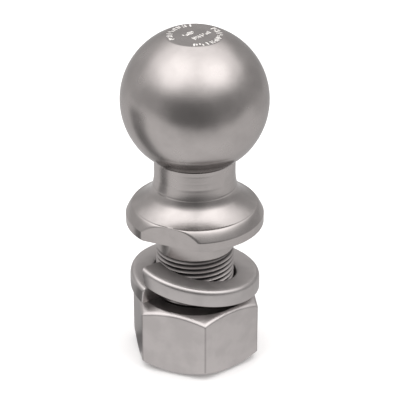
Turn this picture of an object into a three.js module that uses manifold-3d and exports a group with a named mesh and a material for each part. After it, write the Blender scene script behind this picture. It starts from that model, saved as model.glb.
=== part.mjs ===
// Gooseneck hitch ball: a one-piece ball stud, its helical split lock washer and its hex nut.
// Millimetres, +Z up. The origin is on the stud's axis, in the plane of the nut's lower face.

import * as THREE from "three";
import { mergeVertices } from "three/addons/utils/BufferGeometryUtils.js";
import Module from "manifold-3d";

// ---- driving dimensions ----

const INCH = 25.4;
const BALL_RADIUS = (2.3125 * INCH) / 2;
const BALL_CENTRE_Z = 113.4;
const FLAT_ABOVE_CENTRE = 27;
const NECK_RADIUS = 16.3;

const FLANGE_RADIUS = 27.8;
const FLANGE_BOTTOM_Z = 60.8;
const FLANGE_RIM_TOP_Z = 64.8;
const FLANGE_SHOULDER = { r: 25.4, z: 68.3 };
const FLANGE_TOP_FILLET = { r: 18.2, z: 73.9 };
const NECK_BOTTOM_Z = 79.5;
const WRENCH_FLAT_SPAN = 2 * INCH;
const WRENCH_FLAT_AZIMUTH = -112.3;

const SHANK_RADIUS = (1.25 * INCH) / 2;
const THREAD_PITCH = INCH / 12;
const THREAD_TOP_Z = 49.1;
const THREAD_FLANK_ANGLE = 30;
const STUD_THREAD = { crestRadius: 15.8, rootRadius: 14.55, crestWidth: 0.3 };
const BORE_THREAD = { crestRadius: 16.15, rootRadius: 14.95, crestWidth: 0.62 };
const SHANK_END_CHAMFER = 1.6;

const NUT_ACROSS_FLATS = 1.875 * INCH;
const NUT_HEIGHT = 1.125 * INCH;
const NUT_CHAMFER_RADIUS = 22.4;
const NUT_CHAMFER_ANGLE = 30;
const NUT_CORNER_AZIMUTH = -81.1;
const BORE_COUNTERSINK = 1.8;

const WASHER_OUTER_RADIUS = 26.4;
const WASHER_INNER_RADIUS = 16.6;
const WASHER_THICKNESS = 7.5;
const WASHER_EDGE = 0.9;
const WASHER_DROP_PER_TURN = 8.94;
const WASHER_TILT_RISE = 3.13;
const WASHER_TILT_AZIMUTH = -176;
const WASHER_GAP = 0.3;
const WASHER_UPPER_END = { top: -145.6, bottom: -139.4 };
const WASHER_LOWER_END = { top: 217.8, bottom: 216.2 };

const TURNED_SEGMENTS = 40;
const THREAD_STEPS = 20;
const WASHER_STEPS = 44;

// ---- materials ----

function steel(name, color, roughness) {
  return new THREE.MeshStandardMaterial({ name, color, roughness, metalness: 1 });
}

const satinSteel = steel("satin_steel", 0xa39d9a, 0.34);
const washerSteel = steel("washer_steel", 0x9c9895, 0.38);
const nutSteel = steel("nut_steel", 0xaaa6a3, 0.42);

// ---- joining and cutting ----

const wasm = await Module();
wasm.setup();

function toSolid(geometry) {
  const bare = geometry.clone();
  bare.deleteAttribute("normal");
  bare.deleteAttribute("uv");
  const merged = mergeVertices(bare, 1e-4);
  const vertProperties = new Float32Array(merged.attributes.position.array);
  const triVerts = new Uint32Array(merged.index.array);
  return new wasm.Manifold(new wasm.Mesh({ numProp: 3, vertProperties, triVerts }));
}

function toGeometry(solid) {
  const mesh = solid.getMesh();
  const geometry = new THREE.BufferGeometry();
  const positions = new Float32Array(mesh.vertProperties);
  geometry.setAttribute("position", new THREE.BufferAttribute(positions, 3));
  geometry.setIndex(new THREE.BufferAttribute(new Uint32Array(mesh.triVerts), 1));
  geometry.computeVertexNormals();
  return geometry;
}

// ---- outlines ----

const radians = THREE.MathUtils.degToRad;

// A body turned about Z from an outline of [radius, height] pairs that runs upwards.
function turned(outline, segments = TURNED_SEGMENTS) {
  const points = outline.map(([r, z]) => new THREE.Vector2(r, z));
  return new THREE.LatheGeometry(points, segments).rotateX(Math.PI / 2);
}

// Points on a circle about [0, centreZ], from one height to another.
function sphereOutline(radius, centreZ, fromZ, toZ, steps) {
  const from = Math.asin((fromZ - centreZ) / radius);
  const to = Math.asin((toZ - centreZ) / radius);
  return Array.from({ length: steps + 1 }, (_, i) => {
    const angle = from + ((to - from) * i) / steps;
    return [radius * Math.cos(angle), centreZ + radius * Math.sin(angle)];
  });
}

// Points on a smooth bend from one place to another whose tangents meet at the corner.
function bend(from, corner, to, steps) {
  const curve = new THREE.QuadraticBezierCurve(
    new THREE.Vector2(...from),
    new THREE.Vector2(...corner),
    new THREE.Vector2(...to)
  );
  return curve.getPoints(steps).map((point) => [point.x, point.y]);
}

// ---- screw thread ----

// A right-hand screw: one crest and one root per pitch, wound about Z. Each turn's last
// outline point is the next turn's first, and fans from the axis close the two ends.
function screw(form, bottomZ, turns) {
  const flank = (form.crestRadius - form.rootRadius) * Math.tan(radians(THREAD_FLANK_ANGLE));
  const rootWidth = THREAD_PITCH - form.crestWidth - 2 * flank;
  const outline = [
    [form.rootRadius, -form.crestWidth / 2 - flank - rootWidth],
    [form.rootRadius, -form.crestWidth / 2 - flank],
    [form.crestRadius, -form.crestWidth / 2],
    [form.crestRadius, form.crestWidth / 2],
  ];
  const rows = Math.round(turns * THREAD_STEPS);
  const positions = [];
  for (let row = 0; row <= rows; row += 1) {
    const angle = (2 * Math.PI * row) / THREAD_STEPS;
    const rise = bottomZ + (THREAD_PITCH * row) / THREAD_STEPS;
    for (const [r, z] of outline) {
      positions.push(r * Math.cos(angle), r * Math.sin(angle), rise + z);
    }
  }
  const corners = outline.length;
  const at = (row, corner) =>
    corner < corners ? row * corners + corner : (row + THREAD_STEPS) * corners;
  const index = [];
  const lastRow = rows - THREAD_STEPS;
  for (let row = 0; row < lastRow; row += 1) {
    for (let corner = 0; corner < corners; corner += 1) {
      const [a, b] = [at(row, corner), at(row + 1, corner)];
      const [c, d] = [at(row + 1, corner + 1), at(row, corner + 1)];
      index.push(a, b, c, a, c, d);
    }
  }
  const fan = (hub, rim, outwards) => {
    for (let i = 0; i < rim.length; i += 1) {
      const [here, next] = [rim[i], rim[(i + 1) % rim.length]];
      index.push(hub, ...(outwards ? [here, next] : [next, here]));
    }
  };
  const rimFrom = (row) => {
    const rim = [];
    for (let i = 0; i <= THREAD_STEPS; i += 1) rim.push(at(row + i, 0));
    for (let corner = corners - 1; corner > 0; corner -= 1) rim.push(at(row, corner));
    return rim;
  };
  for (const row of [0, lastRow]) {
    const hub = positions.length / 3;
    positions.push(0, 0, positions[at(row, 0) * 3 + 2] + THREAD_PITCH / 2);
    fan(hub, rimFrom(row), row === lastRow);
  }
  const geometry = new THREE.BufferGeometry();
  geometry.setAttribute("position", new THREE.Float32BufferAttribute(positions, 3));
  geometry.setIndex(index);
  return geometry;
}

// ---- ball stud ----

function flangeOutline() {
  const { r: shoulderR, z: shoulderZ } = FLANGE_SHOULDER;
  const { r: filletR, z: filletZ } = FLANGE_TOP_FILLET;
  const rimEdge = 0.6;
  const underside = [
    [FLANGE_RADIUS - rimEdge, FLANGE_BOTTOM_Z],
    [FLANGE_RADIUS, FLANGE_BOTTOM_Z + rimEdge],
  ];
  const rimCorner = [FLANGE_RADIUS - 0.2, FLANGE_RIM_TOP_Z + 1.9];
  const crownCorner = [filletR + 3.4, shoulderZ + 2.2];
  const neckCorner = [NECK_RADIUS, filletZ + 2];
  return [
    ...underside,
    ...bend([FLANGE_RADIUS, FLANGE_RIM_TOP_Z], rimCorner, [shoulderR, shoulderZ], 4),
    ...bend([shoulderR, shoulderZ], crownCorner, [filletR, filletZ], 4).slice(1),
    ...bend([filletR, filletZ], neckCorner, [NECK_RADIUS, NECK_BOTTOM_Z], 4).slice(1),
  ];
}

// Everything above the thread, with a core that reaches down inside it.
function studBody() {
  const coreRadius = STUD_THREAD.rootRadius - 1.2;
  const coreBottomZ = THREAD_TOP_Z - 8;
  const edge = 0.6;
  const ballBottomZ = BALL_CENTRE_Z - Math.sqrt(BALL_RADIUS ** 2 - NECK_RADIUS ** 2);
  const ballTopZ = BALL_CENTRE_Z + FLAT_ABOVE_CENTRE;
  return turned([
    [0, coreBottomZ],
    [coreRadius, coreBottomZ],
    [coreRadius, THREAD_TOP_Z],
    [SHANK_RADIUS - edge, THREAD_TOP_Z],
    [SHANK_RADIUS, THREAD_TOP_Z + edge],
    [SHANK_RADIUS, FLANGE_BOTTOM_Z],
    ...flangeOutline(),
    ...sphereOutline(BALL_RADIUS, BALL_CENTRE_Z, ballBottomZ, ballTopZ, 16),
    [0, ballTopZ],
  ]);
}

// The threaded length, trimmed square at the top and chamfered at the end.
function studThread() {
  const overrun = 2 * THREAD_PITCH;
  const turns = (THREAD_TOP_Z + 3 * overrun) / THREAD_PITCH;
  const wound = toSolid(screw(STUD_THREAD, -overrun, turns));
  const topZ = THREAD_TOP_Z + 0.4;
  const limit = turned([
    [0, 0],
    [SHANK_RADIUS - SHANK_END_CHAMFER, 0],
    [SHANK_RADIUS, SHANK_END_CHAMFER],
    [SHANK_RADIUS, topZ - 1.2],
    [SHANK_RADIUS - 1.2, topZ],
    [0, topZ],
  ]);
  return wound.intersect(toSolid(limit));
}

// A block outside one wrench flat, tall enough to cut the whole flange edge.
function wrenchFlatCutter(azimuth) {
  const height = 30;
  const depth = 12;
  return new THREE.BoxGeometry(depth, 4 * depth, height)
    .translate(WRENCH_FLAT_SPAN / 2 + depth / 2, 0, FLANGE_BOTTOM_Z + 5)
    .rotateZ(radians(azimuth));
}

function ballStud() {
  let stud = toSolid(studBody()).add(studThread());
  for (const turn of [0, 180]) {
    stud = stud.subtract(toSolid(wrenchFlatCutter(WRENCH_FLAT_AZIMUTH + turn)));
  }
  return toGeometry(stud);
}

// ---- hex nut ----

function hexPrism() {
  const cornerRadius = NUT_ACROSS_FLATS / 2 / Math.cos(radians(30));
  const outline = new THREE.Shape();
  for (let corner = 0; corner < 6; corner += 1) {
    const angle = radians(NUT_CORNER_AZIMUTH + 60 * corner);
    const point = [cornerRadius * Math.cos(angle), cornerRadius * Math.sin(angle)];
    if (corner === 0) outline.moveTo(...point);
    else outline.lineTo(...point);
  }
  outline.closePath();
  return new THREE.ExtrudeGeometry(outline, { depth: NUT_HEIGHT, bevelEnabled: false });
}

// The double cone that rounds off the hexagon's corners at both faces.
function nutChamfers() {
  const reach = 8;
  const rise = reach * Math.tan(radians(NUT_CHAMFER_ANGLE));
  return turned([
    [0, 0],
    [NUT_CHAMFER_RADIUS, 0],
    [NUT_CHAMFER_RADIUS + reach, rise],
    [NUT_CHAMFER_RADIUS + reach, NUT_HEIGHT - rise],
    [NUT_CHAMFER_RADIUS, NUT_HEIGHT],
    [0, NUT_HEIGHT],
  ]);
}

// The tapped hole with a countersink at each face.
function tappedBore() {
  const overrun = 2 * THREAD_PITCH;
  const wound = screw(BORE_THREAD, -overrun, (NUT_HEIGHT + 3 * overrun) / THREAD_PITCH);
  const mouth = BORE_THREAD.rootRadius + BORE_COUNTERSINK;
  const bore = BORE_THREAD.rootRadius - 0.4;
  const countersinks = turned([
    [0, -1],
    [mouth + 1, -1],
    [bore, BORE_COUNTERSINK + 0.4],
    [bore, NUT_HEIGHT - BORE_COUNTERSINK - 0.4],
    [mouth + 1, NUT_HEIGHT + 1],
    [0, NUT_HEIGHT + 1],
  ]);
  return toSolid(wound).add(toSolid(countersinks));
}

function hexNut() {
  const blank = toSolid(hexPrism()).intersect(toSolid(nutChamfers()));
  return toGeometry(blank.subtract(tappedBore()));
}

// ---- split lock washer ----

// Height of the washer's lower face: a left-hand coil that falls anticlockwise from its
// upper end, leaning so that its low side rests on the nut.
function washerRise(azimuth) {
  const turns = (azimuth - WASHER_UPPER_END.top) / 360;
  const lean = WASHER_TILT_RISE * Math.cos(radians(azimuth - WASHER_TILT_AZIMUTH));
  return lean - WASHER_DROP_PER_TURN * turns;
}

function washerRestingHeight() {
  let lowest = Infinity;
  for (let azimuth = WASHER_UPPER_END.top; azimuth < WASHER_LOWER_END.top; azimuth += 1) {
    lowest = Math.min(lowest, washerRise(azimuth));
  }
  return NUT_HEIGHT + WASHER_GAP - lowest;
}

// A rectangle with cut corners, as [radius, height] pairs.
function washerSection() {
  const [inner, outer, top] = [WASHER_INNER_RADIUS, WASHER_OUTER_RADIUS, WASHER_THICKNESS];
  const edge = WASHER_EDGE;
  return [
    [inner + edge, 0],
    [outer - edge, 0],
    [outer, edge],
    [outer, top - edge],
    [outer - edge, top],
    [inner + edge, top],
    [inner, top - edge],
    [inner, edge],
  ];
}

function lockWasher() {
  const section = washerSection();
  const restingHeight = washerRestingHeight();
  const positions = [];
  for (let step = 0; step <= WASHER_STEPS; step += 1) {
    const along = step / WASHER_STEPS;
    for (const [r, z] of section) {
      const up = z / WASHER_THICKNESS;
      const start = THREE.MathUtils.lerp(WASHER_UPPER_END.bottom, WASHER_UPPER_END.top, up);
      const end = THREE.MathUtils.lerp(WASHER_LOWER_END.bottom, WASHER_LOWER_END.top, up);
      const azimuth = THREE.MathUtils.lerp(start, end, along);
      const angle = radians(azimuth);
      const height = restingHeight + washerRise(azimuth) + z;
      positions.push(r * Math.cos(angle), r * Math.sin(angle), height);
    }
  }
  const corners = section.length;
  const index = [];
  for (let step = 0; step < WASHER_STEPS; step += 1) {
    for (let corner = 0; corner < corners; corner += 1) {
      const next = (corner + 1) % corners;
      const [a, b] = [step * corners + corner, step * corners + next];
      const [c, d] = [b + corners, a + corners];
      index.push(a, c, b, a, d, c);
    }
  }
  const last = WASHER_STEPS * corners;
  for (let corner = 1; corner < corners - 1; corner += 1) {
    index.push(0, corner, corner + 1);
    index.push(last, last + corner + 1, last + corner);
  }
  const geometry = new THREE.BufferGeometry();
  geometry.setAttribute("position", new THREE.Float32BufferAttribute(positions, 3));
  geometry.setIndex(index);
  geometry.computeVertexNormals();
  return geometry;
}

// ---- assembly ----

function part(name, geometry, material) {
  const mesh = new THREE.Mesh(geometry, material);
  mesh.name = name;
  return mesh;
}

const group = new THREE.Group();
group.add(
  part("ball_stud", ballStud(), satinSteel),
  part("lock_washer", lockWasher(), washerSteel),
  part("hex_nut", hexNut(), nutSteel)
);

export default group;
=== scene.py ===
import math

import bpy
import numpy as np
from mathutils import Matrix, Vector


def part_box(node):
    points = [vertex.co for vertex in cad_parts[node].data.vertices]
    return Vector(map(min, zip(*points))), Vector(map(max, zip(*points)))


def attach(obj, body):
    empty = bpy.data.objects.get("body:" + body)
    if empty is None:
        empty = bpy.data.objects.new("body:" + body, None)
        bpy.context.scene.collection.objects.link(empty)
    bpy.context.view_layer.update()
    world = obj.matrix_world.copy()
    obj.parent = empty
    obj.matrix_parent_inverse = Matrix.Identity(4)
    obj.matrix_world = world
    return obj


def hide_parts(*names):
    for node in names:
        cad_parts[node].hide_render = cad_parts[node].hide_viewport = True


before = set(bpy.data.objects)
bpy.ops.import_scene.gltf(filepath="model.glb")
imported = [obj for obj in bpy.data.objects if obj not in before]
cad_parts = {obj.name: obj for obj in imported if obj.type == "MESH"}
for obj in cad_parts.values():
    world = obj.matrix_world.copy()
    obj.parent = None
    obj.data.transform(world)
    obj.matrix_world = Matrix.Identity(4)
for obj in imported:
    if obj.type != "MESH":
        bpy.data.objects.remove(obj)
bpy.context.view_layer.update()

# Lengths in this script are millimetres, turned to metres as each mesh is made. Shaders see metres.
MM = 0.001
INCH = 25.4


def box_mm(node):
    low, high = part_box(node)
    return [v / MM for v in low], [v / MM for v in high]


# ---- sizes, from model.glb where it states them and from the design otherwise ----

STUD_TOP_Z = box_mm("ball_stud")[1][2]
NUT_HEIGHT = box_mm("hex_nut")[1][2]
WASHER_LOW_Z = box_mm("lock_washer")[0][2]

BALL_RADIUS = 2.3125 * INCH / 2
FLAT_ABOVE_CENTRE = 27
BALL_CENTRE_Z = STUD_TOP_Z - FLAT_ABOVE_CENTRE
# Where the sphere ends, how far below that its underside meets the neck, and how far inwards and
# downwards the corner of the underside's bend lies.
BALL_SKIRT_RADIUS = 24.5
UNDERSIDE_DROP = 8.3
UNDERSIDE_CORNER = (2.2, 3.9)
NECK_RADIUS = 16.3

FLANGE_RADIUS = 27.8
FLANGE_BOTTOM_Z = 60.3
FLANGE_RIM_TOP_Z = 64.0
# The flange's section from its rim up to the neck: three bends in a row, each with its corner, as
# (radius, height).
FLANGE_BAND_CORNER = (25.7, 68.4)
FLANGE_SHOULDER = (24.8, 68.3)
FLANGE_SLOPE_CORNER = (21.0, 70.3)
FLANGE_TOP_FILLET = (18.65, 73.1)
FLANGE_FILLET_CORNER = (NECK_RADIUS, 75.9)
NECK_BOTTOM_Z = 82.7
# Height, half width and depth of the tool's rings on the neck. The last is a raised one.
TOOL_MARKS = ((87.3, 0.45, 0.03), (84.0, 0.35, 0.015), (81.3, 0.6, 0.04), (76.9, 0.28, -0.06))
# A little under 2 in, so that the flats nearly reach the shoulder line.
WRENCH_FLAT_SPAN = 49.9
WRENCH_FLAT_AZIMUTH = -113
WRENCH_FLAT_ROUNDING = 0.45

SHANK_RADIUS = 1.25 * INCH / 2
THREAD_PITCH = INCH / 12
THREAD_FLANK_ANGLE = 30
THREAD_TOP_Z = 49.1
# Depth and length of the slope at the thread's upper end.
THREAD_RUNOUT = (1.5, 1.7)
SHANK_END_CHAMFER = 1.6
# Crest radius, root radius and crest width of each thread.
STUD_THREAD = (15.8, 14.55, 0.3)
BORE_THREAD = (16.15, 14.95, 0.62)
STEPS_PER_TURN = 72

NUT_HALF_SPAN = 1.875 * INCH / 2
NUT_CORNER_RADIUS = NUT_HALF_SPAN / math.cos(math.radians(30))
# Radius of the flat ring inside the top and bottom chamfers.
NUT_TOP_RADIUS = 22.4
NUT_BOTTOM_RADIUS = 21.5
NUT_CHAMFER_ANGLE = 30
NUT_CORNER_AZIMUTH = -81.1
NUT_CORNER_ROUNDING = 0.3
NUT_CHAMFER_ROUNDING = 1.6
BORE_COUNTERSINK = 1.8

WASHER_OUTER_RADIUS = 26.4
WASHER_INNER_RADIUS = 16.6
WASHER_THICKNESS = 7.5
# Rounding of its inner bottom, outer bottom, outer top and inner top corners.
WASHER_EDGES = (0.8, 1.1, 2.6, 1.6)
WASHER_END_ROUNDING = 0.45
WASHER_DROP_PER_TURN = 8.94
WASHER_TILT_RISE = 3.13
WASHER_TILT_AZIMUTH = -176
# Azimuth of each end face's top and bottom edge.
WASHER_UPPER_END = (-145.6, -137.5)
WASHER_LOWER_END = (218.6, 216.2)

# The generic marks stamped in the flat top: two arcs of a ring, as first azimuth, last azimuth and
# count, and two rows, as middle and count.
MARK_DEPTH = 0.35
MARK_STROKE = 0.62
MARK_RING_RADIUS = 9.7
MARK_ARCS = ((204, 100, 8), (40, -88, 10))
MARK_ROW_AZIMUTH = 48
MARK_ROW_SPACING = 1.9
MARK_ROWS = (((-2.4, 1.2), 3), ((2.6, -0.4), 5))
# Bars of each generic mark: sideways and upward place, turn and length.
MARK_FORMS = (
    ((-0.5, 0, 0, 2.3), (0.55, 0.3, 0, 1.5)),
    ((-0.5, 0.6, 0, 0.8), (-0.5, -0.7, 0, 0.8), (0.55, 0, 0, 2.2)),
    ((0, 0, 0, 2.3),),
    ((-0.5, 0.5, 0, 1.2), (0.5, -0.5, 0, 1.2)),
    ((-0.5, -0.3, 0, 1.6), (0.5, 0, 0, 2.3)),
)


# ---- outlines: lists of (radius, height) ----

def polar(radius, azimuth):
    angle = math.radians(azimuth)
    return (radius * math.cos(angle), radius * math.sin(angle))


def line(start, end, steps):
    return [
        (start[0] + (end[0] - start[0]) * i / steps, start[1] + (end[1] - start[1]) * i / steps)
        for i in range(steps + 1)
    ]


def bend(start, corner, end, steps):
    """A smooth bend whose end tangents meet at the corner."""
    points = []
    for i in range(steps + 1):
        t = i / steps
        a, b, c = (1 - t) ** 2, 2 * t * (1 - t), t * t
        points.append(tuple(a * p + b * q + c * r for p, q, r in zip(start, corner, end)))
    return points


def rounded(previous, corner, following, radius, steps=4):
    """The corner between two straight runs, rounded off over that length each way."""
    def towards(point):
        span = math.dist(corner, point)
        return tuple(c + (p - c) * radius / span for c, p in zip(corner, point))
    return bend(towards(previous), corner, towards(following), steps)


def sphere_arc(radius, centre_z, start_z, end_z, steps):
    start = math.asin((start_z - centre_z) / radius)
    end = math.asin((end_z - centre_z) / radius)
    arc = []
    for i in range(steps + 1):
        angle = start + (end - start) * i / steps
        arc.append((radius * math.cos(angle), centre_z + radius * math.sin(angle)))
    return arc


# ---- meshes ----

def new_object(name, vertices, faces):
    mesh = bpy.data.meshes.new(name)
    mesh.from_pydata([tuple(MM * c for c in v) for v in vertices], [], faces)
    mesh.update()
    piece = bpy.data.objects.new(name, mesh)
    bpy.context.scene.collection.objects.link(piece)
    return piece


def turned(name, outline, azimuths, reshape=None):
    """A closed body turned about Z. The outline starts and ends on the axis."""
    inner = outline[1:-1]
    count = len(azimuths)
    vertices = [(0.0, 0.0, outline[0][1]), (0.0, 0.0, outline[-1][1])]
    for r, z in inner:
        for azimuth in azimuths:
            point = (*polar(r, azimuth), z)
            vertices.append(reshape(point) if reshape else point)
    faces = []
    for row in range(len(inner) - 1):
        for i in range(count):
            j = (i + 1) % count
            low, high = 2 + row * count, 2 + (row + 1) * count
            faces.append((low + i, low + j, high + j, high + i))
    last = 2 + (len(inner) - 1) * count
    for i in range(count):
        j = (i + 1) % count
        faces.append((0, 2 + j, 2 + i))
        faces.append((1, last + i, last + j))
    return new_object(name, vertices, faces)


def even_azimuths(count):
    return [360 * i / count for i in range(count)]


def dense_azimuths(centres, half_width, fine, coarse):
    """Azimuths close together round the centres and further apart elsewhere."""
    azimuths = []
    azimuth = 0.0
    while azimuth < 360 - fine / 2:
        azimuths.append(azimuth)
        near = min(abs((azimuth - c + 180) % 360 - 180) for c in centres) < half_width
        azimuth += fine if near else coarse
    return azimuths


def screw(name, form, length):
    """A closed right-hand screw with rounded crests and roots, wound about Z.

    It runs past both ends of the length, which starts at height 0, so that it can be trimmed.
    """
    crest, root, crest_width = form
    flank = (crest - root) * math.tan(math.radians(THREAD_FLANK_ANGLE))
    root_width = THREAD_PITCH - crest_width - 2 * flank
    foot = crest_width / 2 + flank
    ease = 0.12
    profile = [
        (root, -foot - root_width / 2),
        (root + ease / 3, -foot),
        (crest - ease, -crest_width / 2 - ease / 3),
        (crest, -crest_width / 4),
        (crest, crest_width / 4),
        (crest - ease, crest_width / 2 + ease / 3),
        (root + ease / 3, foot),
    ]
    width = len(profile)
    overrun = 2 * THREAD_PITCH
    turns = (length + 3 * overrun) / THREAD_PITCH
    rows = round(turns * STEPS_PER_TURN)
    vertices = []
    for row in range(rows + 1):
        angle = 2 * math.pi * row / STEPS_PER_TURN
        rise = -overrun + THREAD_PITCH * row / STEPS_PER_TURN
        for r, z in profile:
            vertices.append((r * math.cos(angle), r * math.sin(angle), rise + z))

    def at(row, corner):
        return row * width + corner if corner < width else (row + STEPS_PER_TURN) * width

    faces = []
    last_row = rows - STEPS_PER_TURN
    for row in range(last_row):
        for corner in range(width):
            faces.append(
                (at(row, corner), at(row + 1, corner), at(row + 1, corner + 1), at(row, corner + 1))
            )
    for row in (0, last_row):
        rim = [at(row + i, 0) for i in range(STEPS_PER_TURN + 1)]
        rim += [at(row, corner) for corner in range(width - 1, 0, -1)]
        hub = len(vertices)
        vertices.append((0.0, 0.0, vertices[at(row, 0)][2] + THREAD_PITCH / 2))
        for here, following in zip(rim, rim[1:] + rim[:1]):
            faces.append((hub, here, following) if row else (hub, following, here))
    return new_object(name, vertices, faces)


def combine(base, other, operation):
    """Joins, cuts or trims base with other, which is used up."""
    modifier = base.modifiers.new("combine", "BOOLEAN")
    modifier.operation = operation
    modifier.solver = "MANIFOLD"
    modifier.object = other
    graph = bpy.context.evaluated_depsgraph_get()
    result = bpy.data.meshes.new_from_object(base.evaluated_get(graph))
    base.modifiers.clear()
    base.data = result
    bpy.data.objects.remove(other)


def shade(piece, sharp_angle=32):
    piece.data.shade_smooth()
    piece.data.set_sharp_from_angle(angle=math.radians(sharp_angle))


def soft_min(value, limit, rounding):
    """value where it is well under the limit, the limit where it is well over."""
    if value <= limit - rounding:
        return value
    if value >= limit + rounding:
        return limit
    return limit - (value - limit - rounding) ** 2 / (4 * rounding)


# ---- ball stud ----

def tool_mark_depth(z):
    """The depth that the tool's faint rings on the neck have at this height."""
    return sum(depth * math.exp(-(((z - height) / width) ** 2)) for height, width, depth in TOOL_MARKS)


def stud_outline():
    """From the core, which is hidden in the thread, up over the flange and the neck to the flat top."""
    edge = 0.6
    rim_edge = 0.4
    skirt_edge = 0.3
    top_edge = 0.25
    top_radius = math.sqrt(BALL_RADIUS ** 2 - (STUD_TOP_Z - BALL_CENTRE_Z) ** 2)
    skirt_z = BALL_CENTRE_Z - math.sqrt(BALL_RADIUS ** 2 - BALL_SKIRT_RADIUS ** 2)
    skirt = (BALL_SKIRT_RADIUS, skirt_z)
    underside_corner = (BALL_SKIRT_RADIUS - UNDERSIDE_CORNER[0], skirt_z - UNDERSIDE_CORNER[1])
    neck_top = (NECK_RADIUS, skirt_z - UNDERSIDE_DROP)
    core_radius = STUD_THREAD[1] - 1.2
    core_z = THREAD_TOP_Z - 8
    shank_foot = (SHANK_RADIUS, THREAD_TOP_Z)
    shank_head = (SHANK_RADIUS, FLANGE_BOTTOM_Z)
    rim_low = (FLANGE_RADIUS, FLANGE_BOTTOM_Z)
    rim_high = (FLANGE_RADIUS, FLANGE_RIM_TOP_Z)
    seat_inner = (SHANK_RADIUS + 2 * edge, FLANGE_BOTTOM_Z)
    seat_outer = (FLANGE_RADIUS - 2 * rim_edge, FLANGE_BOTTOM_Z)
    neck_bottom = (NECK_RADIUS, NECK_BOTTOM_Z)
    neck_low = (NECK_RADIUS, NECK_BOTTOM_Z + 0.2)
    neck_high = (NECK_RADIUS, neck_top[1] - 0.8)

    outline = [(0, core_z), (core_radius, core_z), (core_radius, THREAD_TOP_Z)]
    outline += rounded((core_radius, THREAD_TOP_Z), shank_foot, shank_head, edge)
    outline += rounded(shank_foot, shank_head, rim_low, edge)
    outline += line(seat_inner, seat_outer, 12)
    outline += rounded(shank_head, rim_low, rim_high, rim_edge, 5)
    outline += line((FLANGE_RADIUS, FLANGE_BOTTOM_Z + edge), rim_high, 16)
    outline += bend(rim_high, FLANGE_BAND_CORNER, FLANGE_SHOULDER, 24)[1:-1]
    outline += bend(FLANGE_SHOULDER, FLANGE_SLOPE_CORNER, FLANGE_TOP_FILLET, 24)
    outline += bend(FLANGE_TOP_FILLET, FLANGE_FILLET_CORNER, neck_bottom, 60)[1:]
    outline += line(neck_low, neck_high, 30)
    underside = bend(neck_top, underside_corner, skirt, 12)
    outline += rounded(neck_bottom, neck_top, underside[2], edge)
    outline += underside[1:-1]
    arc = sphere_arc(BALL_RADIUS, BALL_CENTRE_Z, skirt_z, STUD_TOP_Z, 72)
    outline += rounded(underside[-2], arc[0], arc[2], skirt_edge)
    outline += arc[1:-1]
    outline += rounded(arc[-2], arc[-1], (0, STUD_TOP_Z), top_edge)
    outline += line((top_radius - edge, STUD_TOP_Z), (0, STUD_TOP_Z), 3)

    marked = []
    for r, z in outline:
        on_neck = FLANGE_SHOULDER[1] < z < neck_top[1]
        marked.append((r - tool_mark_depth(z) if on_neck else r, z))
    return marked


def cut_wrench_flats(point):
    """Moves what lies outside either wrench flat back to its plane."""
    margin = 0.1
    x, y, z = point
    if not FLANGE_BOTTOM_Z - margin < z < FLANGE_TOP_FILLET[1]:
        return point
    normal = polar(1, WRENCH_FLAT_AZIMUTH)
    across = x * normal[0] + y * normal[1]
    limited = math.copysign(soft_min(abs(across), WRENCH_FLAT_SPAN / 2, WRENCH_FLAT_ROUNDING), across)
    shift = limited - across
    return (x + shift * normal[0], y + shift * normal[1], z)


def stamped_marks():
    """Cutters for the flat top's stamped marks: plain bars, and no letters."""
    vertices, faces = [], []

    def bar(centre, azimuth, length):
        """One block, a little wider at its top than at its foot."""
        along = polar(1, azimuth)
        aside = (-along[1], along[0])
        base = len(vertices)
        for z, draft in ((STUD_TOP_Z - MARK_DEPTH, 0.75), (STUD_TOP_Z + MARK_DEPTH, 1.25)):
            for u, v in ((-1, -1), (1, -1), (1, 1), (-1, 1)):
                du = u * (length / 2 + (draft - 1) * MARK_STROKE / 2)
                dv = v * MARK_STROKE / 2 * draft
                spot = [c + du * a + dv * b for c, a, b in zip(centre, along, aside)]
                vertices.append((*spot, z))
        quads = ((3, 2, 1, 0), (4, 5, 6, 7), (0, 1, 5, 4), (1, 2, 6, 5), (2, 3, 7, 6), (3, 0, 4, 7))
        faces.extend(tuple(base + corner for corner in quad) for quad in quads)

    def mark(centre, upright, form):
        """One generic sign, of one to three bars."""
        up = polar(1, upright)
        aside = polar(1, upright - 90)
        for du, dv, turn, length in MARK_FORMS[form % len(MARK_FORMS)]:
            point = tuple(c + du * a + dv * b for c, a, b in zip(centre, aside, up))
            bar(point, upright + turn, length)

    for start, end, count in MARK_ARCS:
        for i in range(count):
            azimuth = start + (end - start) * i / (count - 1)
            mark(polar(MARK_RING_RADIUS, azimuth), azimuth, i)
    row = polar(1, MARK_ROW_AZIMUTH)
    for middle, count in MARK_ROWS:
        for i in range(count):
            offset = (i - (count - 1) / 2) * MARK_ROW_SPACING
            centre = (middle[0] + offset * row[0], middle[1] + offset * row[1])
            mark(centre, MARK_ROW_AZIMUTH + 90, i + count)
    return new_object("stamped_marks", vertices, faces)


def thread_limit():
    """What the stud's thread is trimmed to: a chamfer at its end and a slope at its top."""
    top_z = THREAD_TOP_Z - 0.1
    runout_depth, runout_length = THREAD_RUNOUT
    end_radius = SHANK_RADIUS - SHANK_END_CHAMFER
    edge_width, edge_rise = 0.3, 0.12
    outline = [
        (0, 0),
        *line((3, 0), (end_radius - edge_width, 0), 3),
        (end_radius, edge_rise),
        (SHANK_RADIUS, SHANK_END_CHAMFER),
        (SHANK_RADIUS, top_z - runout_length),
        (SHANK_RADIUS - runout_depth, top_z),
        (0, top_z),
    ]
    return turned("limit", outline, even_azimuths(120))


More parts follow.
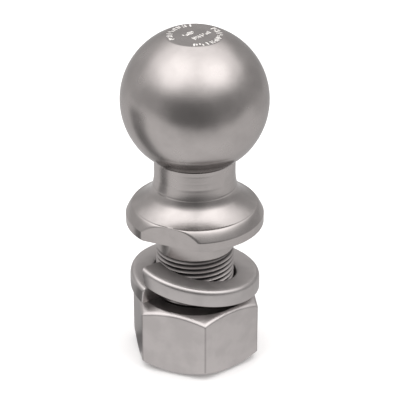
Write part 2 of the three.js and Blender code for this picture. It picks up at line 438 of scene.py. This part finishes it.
def make_stud(steel, stamped, thread_steel):
    flats = (WRENCH_FLAT_AZIMUTH, WRENCH_FLAT_AZIMUTH + 180)
    azimuths = dense_azimuths(flats, half_width=32, fine=0.5, coarse=2.5)
    stud = turned("ball_stud_forging", stud_outline(), azimuths, cut_wrench_flats)
    thread = screw("thread", STUD_THREAD, THREAD_TOP_Z)
    combine(thread, thread_limit(), "INTERSECT")
    marks = stamped_marks()
    # The marks take the third material, whose near-white colour is a painted highlight.
    for index, part in enumerate((stud, thread, marks)):
        part.data.materials.clear()
        for material in (steel, thread_steel, stamped):
            part.data.materials.append(material)
        for face in part.data.polygons:
            face.material_index = index
    combine(stud, thread, "UNION")
    combine(stud, marks, "DIFFERENCE")
    shade(stud)
    return stud


# ---- hex nut ----

def nut_point(z, azimuth):
    """A point on the hexagon's side, or on the chamfer cone where that is nearer the axis."""
    face = 60 * math.floor((azimuth - NUT_CORNER_AZIMUTH) / 60) + 30 + NUT_CORNER_AZIMUTH
    slope = math.tan(math.radians(NUT_CHAMFER_ANGLE))
    cone = min(NUT_BOTTOM_RADIUS + z / slope, NUT_TOP_RADIUS + (NUT_HEIGHT - z) / slope)
    side = NUT_HALF_SPAN * 2
    for turn in (face - 60, face, face + 60):
        lean = math.cos(math.radians(azimuth - turn))
        # A side that faces more than 60 degrees away is out of reach.
        if lean > 0.5:
            side = soft_min(NUT_HALF_SPAN / lean, side, NUT_CORNER_ROUNDING)
    reach = soft_min(side, cone, NUT_CHAMFER_ROUNDING)
    return (*polar(reach, azimuth), z)


def countersinks():
    """Cutter for the 45 degree countersinks at both ends of the bore."""
    past_face = 1
    within_thread = 0.4
    mouth = BORE_THREAD[1] + BORE_COUNTERSINK + past_face
    inner = BORE_THREAD[1] - within_thread
    outline = [
        (0, -past_face),
        (mouth, -past_face),
        (inner, BORE_COUNTERSINK + within_thread),
        (inner, NUT_HEIGHT - BORE_COUNTERSINK - within_thread),
        (mouth, NUT_HEIGHT + past_face),
        (0, NUT_HEIGHT + past_face),
    ]
    return turned("sinks", outline, even_azimuths(120))


def make_nut(steel):
    chamfer_rise = 4.5
    heights = [p[1] for p in line((0, 0), (0, chamfer_rise), steps=34)]
    middle = [p[1] for p in line((0, chamfer_rise), (0, NUT_HEIGHT - chamfer_rise), steps=8)][1:-1]
    heights += middle + [NUT_HEIGHT - h for h in reversed(heights)]
    azimuths = even_azimuths(720)
    vertices, rows = [], []

    def add_row(points):
        rows.append(range(len(vertices), len(vertices) + len(points)))
        vertices.extend(points)

    def ring(r, z):
        return [(*polar(r, azimuth), z) for azimuth in azimuths]

    # Rings of each flat face, the first inside the bore and the next just outside its countersink.
    hub_radius = 8
    mouth_radius = 17
    face_inset = 0.6
    for r in (hub_radius, mouth_radius, 20, NUT_BOTTOM_RADIUS - face_inset):
        add_row(ring(r, 0))
    for z in heights:
        add_row([nut_point(z, azimuth) for azimuth in azimuths])
    for r in (NUT_TOP_RADIUS - face_inset, 21, mouth_radius, hub_radius):
        add_row(ring(r, NUT_HEIGHT))
    faces = []
    count = len(azimuths)
    for low, high in zip(rows, rows[1:]):
        for i in range(count):
            j = (i + 1) % count
            faces.append((low[i], low[j], high[j], high[i]))
    faces.append(tuple(reversed(rows[0])))
    faces.append(tuple(rows[-1]))
    nut = new_object("hex_nut_body", vertices, faces)

    bore = screw("bore", BORE_THREAD, NUT_HEIGHT)
    combine(bore, countersinks(), "UNION")
    combine(nut, bore, "DIFFERENCE")
    nut.data.materials.clear()
    nut.data.materials.append(steel)
    shade(nut)
    return nut


# ---- lock washer ----

def washer_rise(azimuth):
    turns = (azimuth - WASHER_UPPER_END[0]) / 360
    lean = WASHER_TILT_RISE * math.cos(math.radians(azimuth - WASHER_TILT_AZIMUTH))
    return lean - WASHER_DROP_PER_TURN * turns


def washer_section(inset):
    """A rounded rectangle as (radius, height), drawn in by inset all round, with tighter corners."""
    tightening = 0.6
    inner, outer = WASHER_INNER_RADIUS + inset, WASHER_OUTER_RADIUS - inset
    bottom, top = inset, WASHER_THICKNESS - inset
    corners = [(inner, bottom), (outer, bottom), (outer, top), (inner, top)]
    section = []
    for i, corner in enumerate(corners):
        edge = WASHER_EDGES[i] - inset * tightening
        section += rounded(corners[i - 1], corner, corners[(i + 1) % 4], edge, 8)
    return section


def washer_stations():
    """Each cross section's place along the washer, from 0 to 1, and its inset at the rounded ends."""
    steps = 240
    # Near enough the length from end to end, which only sets where the end rounding stops.
    arc_length = math.radians(362) * WASHER_OUTER_RADIUS
    ends = [
        (WASHER_END_ROUNDING * (1 - math.sin(turn)), WASHER_END_ROUNDING * (1 - math.cos(turn)))
        for turn in (math.pi / 2 * (1 - i / 4) for i in range(5))
    ]
    first = 2 * WASHER_END_ROUNDING / arc_length
    stations = [(s / arc_length, inset) for s, inset in ends]
    stations += [(s, 0.0) for s in np.linspace(first, 1 - first, steps)]
    stations += [(1 - s / arc_length, inset) for s, inset in reversed(ends)]
    return stations


def make_washer(steel):
    azimuths = np.arange(WASHER_UPPER_END[0], WASHER_LOWER_END[0], 0.5)
    lowest = min(washer_rise(azimuth) for azimuth in azimuths)
    resting = WASHER_LOW_Z - lowest
    stations = washer_stations()
    vertices = []
    for along, inset in stations:
        for r, z in washer_section(inset):
            up = z / WASHER_THICKNESS
            start = WASHER_UPPER_END[1] + (WASHER_UPPER_END[0] - WASHER_UPPER_END[1]) * up
            end = WASHER_LOWER_END[1] + (WASHER_LOWER_END[0] - WASHER_LOWER_END[1]) * up
            azimuth = start + (end - start) * along
            vertices.append((*polar(r, azimuth), resting + washer_rise(azimuth) + z))
    width = len(washer_section(0))
    faces = []
    for row in range(len(stations) - 1):
        for i in range(width):
            j = (i + 1) % width
            low, high = row * width, (row + 1) * width
            faces.append((low + i, high + i, high + j, low + j))
    faces.append(tuple(range(width)))
    last = (len(stations) - 1) * width
    faces.append(tuple(reversed(range(last, last + width))))
    washer = new_object("split_washer", vertices, faces)
    washer.data.materials.append(steel)
    shade(washer, sharp_angle=50)
    return washer


# ---- materials ----

class Nodes:
    """A short way to add and join shader nodes."""

    def __init__(self, tree):
        self.tree = tree

    def add(self, kind, inputs=None, **settings):
        node = self.tree.nodes.new(kind)
        for key, value in settings.items():
            setattr(node, key, value)
        for key, value in (inputs or {}).items():
            if isinstance(value, bpy.types.NodeSocket):
                self.tree.links.new(value, node.inputs[key])
            else:
                node.inputs[key].default_value = value
        return node

    def math(self, operation, first, second=0.0):
        return self.add("ShaderNodeMath", {0: first, 1: second}, operation=operation).outputs[0]

    def noise(self, vector, scale, detail):
        node = self.add("ShaderNodeTexNoise", {"Vector": vector, "Scale": scale, "Detail": detail})
        return node.outputs["Fac"]

    def remap(self, value, low, high, to_low, to_high, interpolation="LINEAR"):
        inputs = {"Value": value, 1: low, 2: high, 3: to_low, 4: to_high}
        return self.add("ShaderNodeMapRange", inputs, interpolation_type=interpolation).outputs[0]

    def ease(self, value, low, high, to_low=0.0, to_high=1.0):
        return self.remap(value, low, high, to_low, to_high, "SMOOTHSTEP")

    def sector(self, angle, start, full_from, full_to, end):
        """1 between the two middle limits, easing to 0 at the outer ones.

        The angle is in radians and the limits are in degrees.
        """
        limits = [math.radians(limit) for limit in (start, full_from, full_to, end)]
        opening = self.ease(angle, *limits[:2])
        closing = self.ease(angle, *limits[2:], 1.0, 0.0)
        return self.product(opening, closing)

    def product(self, *factors):
        result = factors[0]
        for factor in factors[1:]:
            result = self.math("MULTIPLY", result, factor)
        return result

    def total(self, *terms):
        result = terms[0]
        for term in terms[1:]:
            result = self.math("ADD", result, term)
        return result

    def blend(self, factor, low, high):
        inputs = {"Factor": factor, "A": low, "B": high}
        return self.add("ShaderNodeMix", inputs).outputs[0]


# Noise scales of the steels, coarse to fine, per metre.
BLOTCH_SCALE = 110
SCRATCH_SCALE = 700
GRAIN_SCALE = 1400
TOOL_LINE_SCALE = 2600
BUMP_DISTANCE = 0.00001


def steel_material(
    name, color, roughness, lines, grain, stains=0.05, scratches=0.0, dull_top=0.0, radial_darkening=(0, 1, 1, 1),
):
    """Bare steel: slow colour and gloss variation, fine grain, tool lines and handling scratches.

    Level faces are rougher by dull_top. The darkening by radius is two radii, and the colour's level at
    each; it paints shade into the thread's roots and darkens the nut's corners.
    """
    material = bpy.data.materials.new(name)
    material.use_nodes = True
    tree = material.node_tree
    tree.nodes.clear()
    nodes = Nodes(tree)
    place = nodes.add("ShaderNodeTexCoord").outputs["Object"]
    x, y, z = nodes.add("ShaderNodeSeparateXYZ", {0: place}).outputs
    radius = nodes.math("SQRT", nodes.total(nodes.product(x, x), nodes.product(y, y)))

    blotches = nodes.noise(place, BLOTCH_SCALE, detail=5)
    dark = tuple(c * (1 - stains) for c in color) + (1,)
    light = tuple(c * (1 + stains) for c in color) + (1,)
    patches = nodes.ease(blotches, 0.36, 0.64)
    mix = nodes.add("ShaderNodeMix", {"Factor": patches, 6: dark, 7: light}, data_type="RGBA")
    # Colour darkened by radius: painted shade in the thread's roots, and darker corners on the nut.
    level = nodes.ease(radius, radial_darkening[0] * MM, radial_darkening[1] * MM, *radial_darkening[2:])
    steel = nodes.add("ShaderNodeVectorMath", {0: mix.outputs[2], "Scale": level}, operation="SCALE")

    facing = nodes.add("ShaderNodeTexCoord").outputs["Normal"]
    upward = nodes.add("ShaderNodeSeparateXYZ", {0: facing}).outputs[2]
    rough = nodes.remap(blotches, 0.3, 0.7, roughness - 0.03, roughness + 0.03)
    rough = nodes.total(rough, nodes.ease(upward, 0.85, 0.97, 0.0, dull_top))

    specks = nodes.noise(place, GRAIN_SCALE, detail=3)
    line_inputs = {"W": nodes.total(radius, z), "Scale": TOOL_LINE_SCALE, "Detail": 4}
    turning = nodes.add("ShaderNodeTexNoise", line_inputs, noise_dimensions="1D")
    slant_inputs = {"Vector": place, "Rotation": (0.5, 0.9, 0.4), "Scale": (1, 1, 0.04)}
    slant = nodes.add("ShaderNodeMapping", slant_inputs).outputs[0]
    wisps = nodes.ease(nodes.noise(slant, SCRATCH_SCALE, detail=2), 0.66, 0.76)
    height = nodes.total(
        nodes.product(turning.outputs["Fac"], lines),
        nodes.product(specks, grain),
        nodes.product(wisps, -scratches),
    )
    bump = nodes.add("ShaderNodeBump", {"Height": height, "Strength": 1.0, "Distance": BUMP_DISTANCE})
    shader = nodes.add(
        "ShaderNodeBsdfPrincipled",
        {
            "Base Color": steel.outputs[0],
            "Metallic": 1.0,
            "Roughness": rough,
            "Specular Tint": (0.7, 0.7, 0.7, 1),
            "Normal": bump.outputs[0],
        },
    )
    output = nodes.add("ShaderNodeOutputMaterial", {"Surface": shader.outputs[0]})
    output.is_active_output = True
    return material


# ---- stage ----

FLOOR_HALF_SIDE = 20000
LIGHT_COLOR = (1.0, 0.985, 0.98, 1)
# Painted soft shadows in the floor's painted reflection: the object's cast shadow off to the left,
# its darker core, and a shadow round the nut's foot. Each has the turns where it starts, is full, is
# full to and ends, in degrees from the front, the distances where it starts to fade and is gone, in
# metres, and its depth.
PAINTED_FLOOR_SHADOWS = (
    (-113, -106, -82, -75, 0.35, 0.60, 0.62),
    (-108, -99, -94, -85, 0.12, 0.30, 0.14),
    (-165, -135, -112, -100, 0.07, 0.11, 0.30),
)
# Directions of the two brighter pools overhead.
POOLS = ((-0.46, -0.265, 0.848), (0.46, -0.265, 0.848))


def turn_from_front(nodes, x, y):
    """The horizontal angle in radians from the front, which is -Y, growing towards +X."""
    return nodes.math("ARCTAN2", x, nodes.product(y, -1.0))


def room_level(nodes, x, y, turn):
    """Brightness of the room at the horizon: dim in front, paler to the left and behind."""
    level = nodes.total(nodes.product(y, 0.15), nodes.product(x, -0.10), 0.58)
    dark_front = nodes.product(nodes.sector(turn, -60, -34, 5, 45), -0.20)
    return nodes.total(level, dark_front)


def floor_corners():
    signs = ((-1, -1), (1, -1), (1, 1), (-1, 1))
    return [(u * FLOOR_HALF_SIDE, v * FLOOR_HALF_SIDE, 0) for u, v in signs]


def make_floor():
    """The pale floor that is seen."""
    floor = new_object("floor", floor_corners(), [(0, 1, 2, 3)])
    material = bpy.data.materials.new("floor_white")
    material.use_nodes = True
    shader = material.node_tree.nodes["Principled BSDF"]
    shader.inputs["Base Color"].default_value = (0.88, 0.88, 0.88, 1)
    shader.inputs["Roughness"].default_value = 0.9
    floor.data.materials.append(material)
    floor.visible_glossy = False


def make_painted_floor_reflection():
    """A glowing sheet that the steel reflects in place of the floor: a painted reflection, with painted
    shade and shadows.
    """
    sheet = new_object("floor_reflection", floor_corners(), [(0, 1, 2, 3)])
    material = bpy.data.materials.new("painted_floor_sheet")
    material.use_nodes = True
    material.node_tree.nodes.clear()
    nodes = Nodes(material.node_tree)
    place = nodes.add("ShaderNodeTexCoord").outputs["Object"]
    x, y, _ = nodes.add("ShaderNodeSeparateXYZ", {0: place}).outputs
    distance = nodes.add("ShaderNodeVectorMath", {0: place}, operation="LENGTH").outputs["Value"]
    turn = turn_from_front(nodes, x, y)
    far = room_level(nodes, nodes.math("DIVIDE", x, distance), nodes.math("DIVIDE", y, distance), turn)

    # The painted floor level: brighter in front and to the left, dimmer to the right.
    near = nodes.ease(turn, math.radians(25), math.radians(80), 1.06, 0.95)
    # Painted shade on the floor further out behind the object.
    behind = nodes.product(nodes.ease(distance, 0.12, 0.40), nodes.ease(y, -0.05, 0.15), -0.14)
    # A painted shadow on the floor in front of the object, from about 13 cm out.
    middle = nodes.product(nodes.sector(turn, -40, 0, 12, 55), nodes.ease(distance, 0.13, 0.18), -0.15)
    lit = nodes.total(near, behind, middle)
    # In front and far off, the painted reflection takes the room's level.
    front_edge = nodes.total(nodes.product(x, 0.2), nodes.product(y, -1.0))
    in_front = nodes.ease(front_edge, 0.16, 0.42)
    beyond = nodes.ease(distance, 0.40, 1.20)
    lit = nodes.blend(nodes.math("MAXIMUM", in_front, beyond), lit, far)

    # Painted shadows, deepest near the object and fading with distance.
    painted_shadows = [
        nodes.product(nodes.sector(turn, *turns), nodes.ease(distance, fade, gone, 1.0, 0.0), -depth)
        for *turns, fade, gone, depth in PAINTED_FLOOR_SHADOWS
    ]
    strength = nodes.product(lit, nodes.total(*painted_shadows, 1.0))
    emission = nodes.add("ShaderNodeEmission", {"Color": LIGHT_COLOR, "Strength": strength})
    nodes.add("ShaderNodeOutputMaterial", {"Surface": emission.outputs[0]})
    sheet.data.materials.append(material)
    sheet.visible_camera = False
    sheet.visible_diffuse = False
    sheet.visible_shadow = False


def make_world():
    """A wide soft light overhead with two brighter pools, in a plain pale room."""
    world = bpy.data.worlds.new("studio")
    bpy.context.scene.world = world
    world.use_nodes = True
    world.node_tree.nodes.clear()
    nodes = Nodes(world.node_tree)
    way = nodes.add("ShaderNodeTexCoord").outputs["Generated"]
    x, y, z = nodes.add("ShaderNodeSeparateXYZ", {0: way}).outputs
    room = room_level(nodes, x, y, turn_from_front(nodes, x, y))

    over = nodes.math("ARCTAN2", z, nodes.product(y, -1.0))
    aside = nodes.math("ARCTAN2", z, nodes.math("ABSOLUTE", x))
    side_fade = nodes.ease(aside, math.radians(10), math.radians(50))
    panel = nodes.product(nodes.sector(over, 14, 60, 110, 152), side_fade)
    bright = nodes.total(nodes.product(y, -0.15), 1.95)
    for pool in POOLS:
        towards = nodes.add("ShaderNodeVectorMath", {0: way, 1: pool}, operation="DOT_PRODUCT")
        nearness = towards.outputs["Value"]
        bright = nodes.total(bright, nodes.ease(nearness, 0.84, 1.0, 0.0, 0.6))
    strength = nodes.blend(panel, room, bright)

    studio = nodes.add("ShaderNodeBackground", {"Color": LIGHT_COLOR, "Strength": strength})
    pale = nodes.add("ShaderNodeBackground", {"Color": (1, 1, 1, 1), "Strength": 1.0})
    seen = nodes.add("ShaderNodeLightPath").outputs["Is Camera Ray"]
    mix = nodes.add("ShaderNodeMixShader", {0: seen, 1: studio.outputs[0], 2: pale.outputs[0]})
    nodes.add("ShaderNodeOutputWorld", {"Surface": mix.outputs[0]})


def make_camera():
    target = Vector((2.07, 0, 68.9)) * MM
    distance = 0.7787
    elevation = math.radians(27.52)
    data = bpy.data.cameras.new("camera")
    data.sensor_width = 36
    data.lens = 174.7
    data.clip_start = 0.01
    camera = bpy.data.objects.new("camera", data)
    bpy.context.scene.collection.objects.link(camera)
    back = Vector((0, -math.cos(elevation), math.sin(elevation)))
    camera.location = target + back * distance
    camera.rotation_euler = (math.pi / 2 - elevation, 0, 0)
    bpy.context.scene.camera = camera


# ---- scene ----

make_camera()
bpy.context.scene.view_settings.view_transform = "Standard"

# Radii and levels that paint shade into the thread's roots, and that darken the nut's corners.
PAINTED_ROOT_SHADE = (STUD_THREAD[1] + 0.25, STUD_THREAD[0] - 0.1, 0.2, 1.0)
# Darker colour along the nut's corner edges.
DARKENED_CORNERS = (NUT_CORNER_RADIUS - 0.3, NUT_CORNER_RADIUS - 0.12, 1.0, 0.72)

SATIN = steel_material(
    "satin_steel", color=(0.385, 0.362, 0.354), roughness=0.25, lines=0.6, grain=0.5
)
# The stamped marks' near-white colour is a painted highlight, for the light caught by the pits' walls.
PAINTED_MARK_HIGHLIGHT = steel_material(
    "stamped_painted_highlight", color=(0.95, 0.94, 0.93), roughness=0.6, lines=0.0, grain=1.0
)
THREAD_STEEL = steel_material(
    "thread_steel", color=(0.43, 0.406, 0.4), roughness=0.42, lines=0.0, grain=1.0, radial_darkening=PAINTED_ROOT_SHADE
)
WASHER_STEEL = steel_material(
    "washer_steel", color=(0.41, 0.39, 0.385), roughness=0.30, lines=0.0, grain=0.6,
    stains=0.06, scratches=1.5, dull_top=0.32,
)
NUT_STEEL = steel_material(
    "nut_steel", color=(0.445, 0.42, 0.415), roughness=0.34, lines=0.0, grain=1.0,
    stains=0.06, scratches=3.0, radial_darkening=DARKENED_CORNERS,
)

PIECES = (
    (make_stud(SATIN, PAINTED_MARK_HIGHLIGHT, THREAD_STEEL), "stud", "ball_stud", "satin_steel"),
    (make_washer(WASHER_STEEL), "washer", "lock_washer", "washer_steel"),
    (make_nut(NUT_STEEL), "nut", "hex_nut", "nut_steel"),
)
for piece, body, node, slot in PIECES:
    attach(piece, body)
    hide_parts(node)

make_floor()
make_painted_floor_reflection()
make_world()
